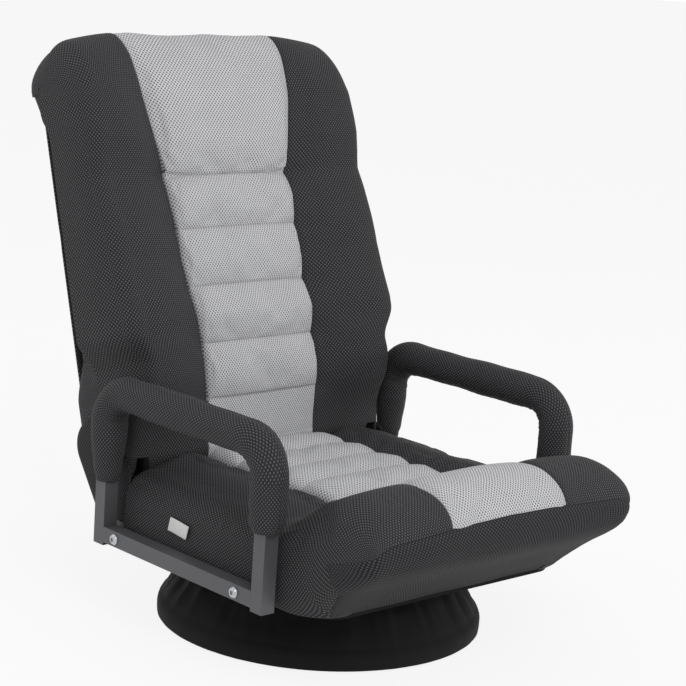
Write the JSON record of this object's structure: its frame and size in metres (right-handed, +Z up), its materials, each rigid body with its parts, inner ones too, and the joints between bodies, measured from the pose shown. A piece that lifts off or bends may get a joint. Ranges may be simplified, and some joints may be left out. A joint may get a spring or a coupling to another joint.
{
  "type": "floor gaming chair",
  "caption": "Low floor chair with a padded seat, ratchet reclining back and padded arm hoops on a round ball-bearing swivel base.",
  "frame": {"origin": "centre of the swivel base on the floor", "axes": "+Z up, -Y the way the sitter faces, +X to the left of the sitter, seen from the front at the viewer's right"},
  "size_m": [0.534, 0.7069, 0.722],
  "materials": {
    "floor_rubber": "matt",
    "base_steel": "satin black enamel",
    "base_cloth": "dull stretched cover cloth",
    "zinc_steel": "zinc plated",
    "ball_steel": "polished",
    "cage_plastic": "matt",
    "board_cloth": "thin felted cloth over a board",
    "frame_steel": "satin black enamel",
    "arm_steel": "satin grey powder coat",
    "webbing": "woven elastic",
    "grey_cloth": "fine grey mesh cloth",
    "black_cloth": "black open mesh cloth",
    "label_cloth": "smooth white ribbon",
    "spacer_plastic": "matt",
    "zip_tape": "woven tape"
  },
  "bodies": {
    "base": {"floor_strip": "floor_rubber", "floor_ring": "base_steel", "base_spokes": "base_steel", "hub_plate": "base_steel", "base_cover": "base_cloth", "swivel_lower_plate": "zinc_steel", "swivel_balls": "ball_steel", "ball_cage": "cage_plastic", "swivel_pivot": "zinc_steel", "lower_plate_bolts": "zinc_steel"},
    "seat": {"swivel_upper_plate": "zinc_steel", "upper_plate_bolts": "zinc_steel", "bottom_board": "board_cloth", "seat_frame": "frame_steel", "seat_straps": "webbing", "seat_panel": "grey_cloth", "left_seat_bolster": "black_cloth", "right_seat_bolster": "black_cloth", "seat_front_gusset": "black_cloth", "left_hinge_cheek": "black_cloth", "right_hinge_cheek": "black_cloth", "seat_rear_panel": "black_cloth", "side_label": "label_cloth", "left_arm_hoop": "arm_steel", "right_arm_hoop": "arm_steel", "left_arm_rail": "arm_steel", "right_arm_rail": "arm_steel", "left_arm_pad": "black_cloth", "right_arm_pad": "black_cloth", "arm_bolts": "zinc_steel", "arm_spacers": "spacer_plastic", "arm_end_plugs": "arm_steel", "left_ratchet_housing": "frame_steel", "right_ratchet_housing": "frame_steel", "hinge_pins": "zinc_steel"},
    "back": {"back_frame": "frame_steel", "left_ratchet_plate": "zinc_steel", "right_ratchet_plate": "zinc_steel", "ratchet_rivets": "zinc_steel", "back_straps": "webbing", "lumbar_panel": "grey_cloth", "head_panel": "grey_cloth", "left_back_bolster": "black_cloth", "right_back_bolster": "black_cloth", "rear_panel": "black_cloth", "rear_zip": "zip_tape", "zip_pull": "zinc_steel"}
  },
  "joints": [
    {"name": "swivel", "type": "hinge", "parent": "base", "child": "seat", "pos_m": [0, 0, 0.09], "axis": [0, 0, 1], "continuous": true},
    {"name": "recline", "type": "hinge", "parent": "seat", "child": "back", "pos_m": [0, 0.212, 0.204], "axis": [-1, 0, 0], "range_deg": [-13.5, 54]}
  ]
}
